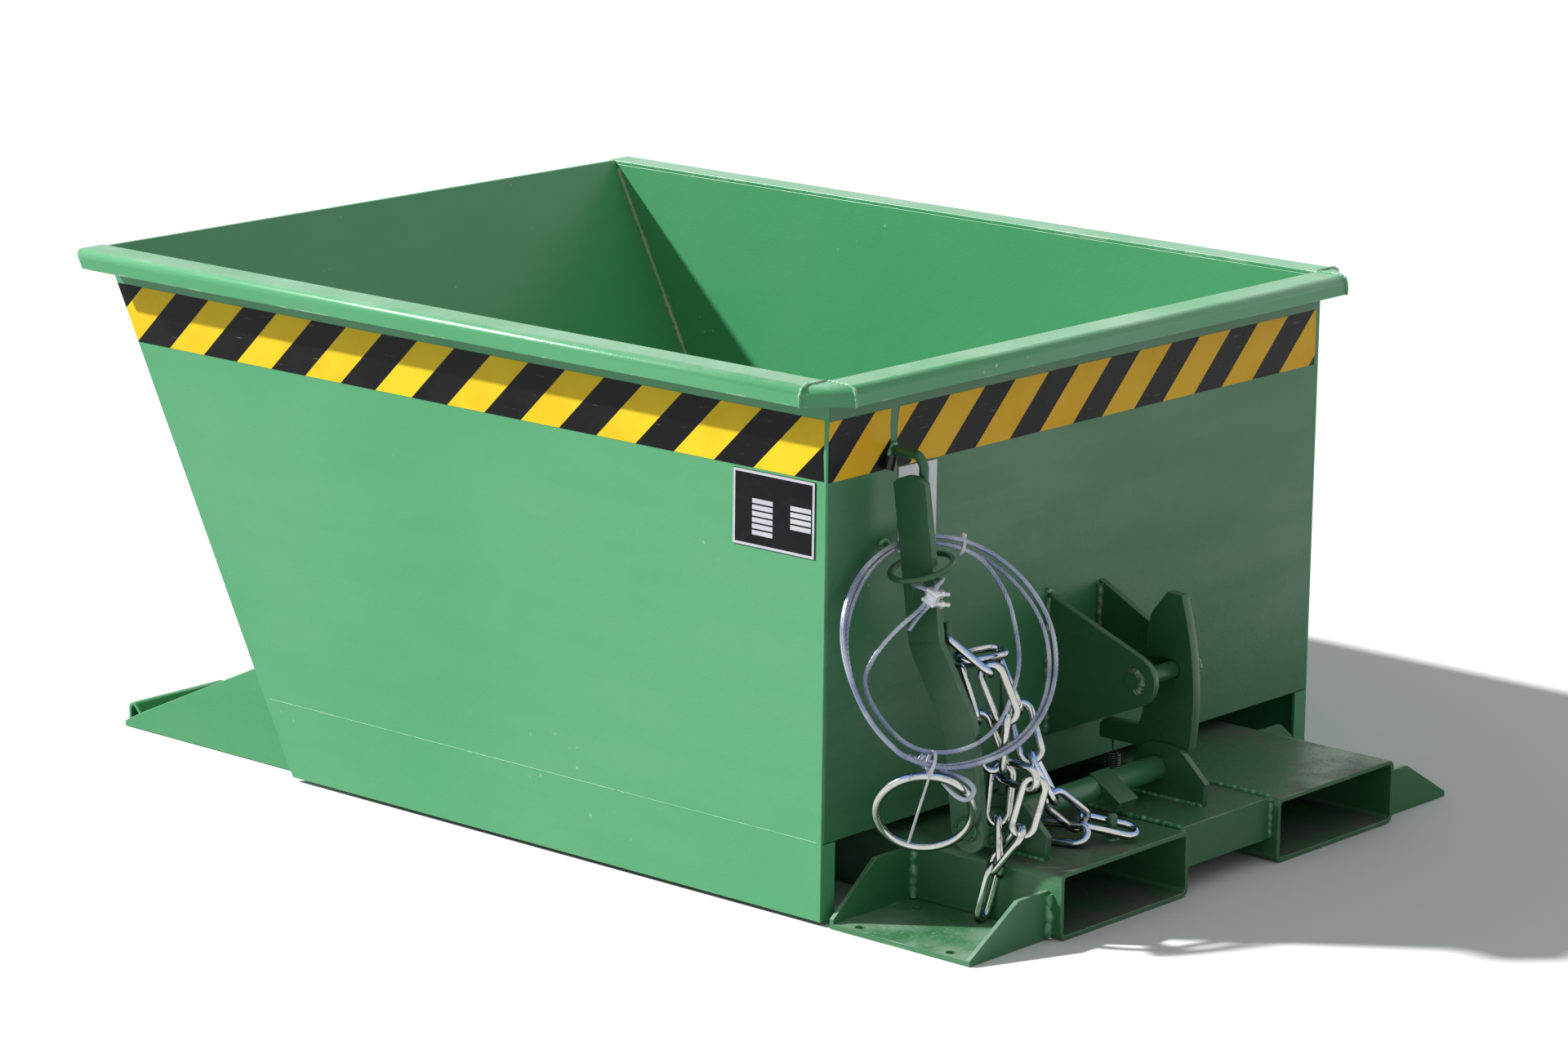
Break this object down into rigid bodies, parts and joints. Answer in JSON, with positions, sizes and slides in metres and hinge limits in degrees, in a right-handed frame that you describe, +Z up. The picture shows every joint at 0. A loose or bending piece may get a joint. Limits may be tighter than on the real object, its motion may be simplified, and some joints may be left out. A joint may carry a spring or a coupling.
{
  "type": "tipping hopper",
  "caption": "Green sheet steel tipping hopper on fork pockets, with a hinged trough, release lever, hook latch, safety chain and pull rope.",
  "frame": {"origin": "middle of the footprint at ground level", "axes": "+X towards the fork entry at the rear, +Y to the right when looking along -X from the rear, +Z up"},
  "size_m": [1.267, 0.9, 0.556],
  "materials": {
    "green_paint": "semi-gloss enamel",
    "plate_black": "printed",
    "pin_steel": "turned",
    "zinc": "bright zinc plated",
    "rope_steel": "galvanised strands"
  },
  "bodies": {
    "base": {"fork_pocket_left": "green_paint", "fork_pocket_right": "green_paint", "rear_cross_member": "green_paint", "front_cross_member": "green_paint", "floor_rests": "green_paint", "rear_tray_left": "green_paint", "rear_tray_right": "green_paint", "front_lug_left": "green_paint", "front_lug_right": "green_paint", "tip_stop_left": "green_paint", "tip_stop_right": "green_paint", "hinge_post_left": "green_paint", "hinge_post_right": "green_paint", "hinge_pin_left": "pin_steel", "hinge_pin_right": "pin_steel", "bearing_bracket_left": "green_paint", "bearing_bracket_right": "green_paint", "spring_anchor": "green_paint", "return_spring": "zinc", "chain_anchor": "green_paint", "chain_peg": "green_paint", "safety_chain": "zinc"},
    "trough": {"side_plate_left": "green_paint", "side_plate_right": "green_paint", "front_wall": "green_paint", "trough_floor": "green_paint", "rear_wall": "green_paint", "rim_left": "green_paint", "rim_right": "green_paint", "rim_rear": "green_paint", "rim_corner_left": "green_paint", "rim_corner_right": "green_paint", "name_plate": "plate_black", "latch_bracket_left": "green_paint", "latch_bracket_right": "green_paint", "latch_pin": "pin_steel", "lock_rod": "green_paint", "hinge_ears_left": "green_paint", "hinge_ears_right": "green_paint"},
    "latch": {"latch_shaft": "green_paint", "release_lever": "green_paint", "latch_hook": "green_paint", "stop_block": "green_paint", "release_rope": "rope_steel", "rope_clip": "zinc", "rope_ferrule": "zinc", "pull_ring": "zinc"},
    "lock_ring": {"lock_ring": "green_paint"}
  },
  "joints": [
    {"name": "trough_tip", "type": "hinge", "parent": "base", "child": "trough", "pos_m": [-0.4225, 0, 0.13], "axis": [0, -1, 0], "range_deg": [0, 92.5]},
    {"name": "latch_release", "type": "hinge", "parent": "base", "child": "latch", "pos_m": [0.5305, 0, 0.1], "axis": [0, 1, 0], "range_deg": [0, 22], "stiffness_Nm_per_rad": 12, "springref_deg": -20.05, "deforming": ["return_spring"]},
    {"name": "ring_lift", "type": "slide", "parent": "latch", "child": "lock_ring", "axis": [-0.095, -0.057, 0.9938], "range_m": [0, 0.004]}
  ]
}
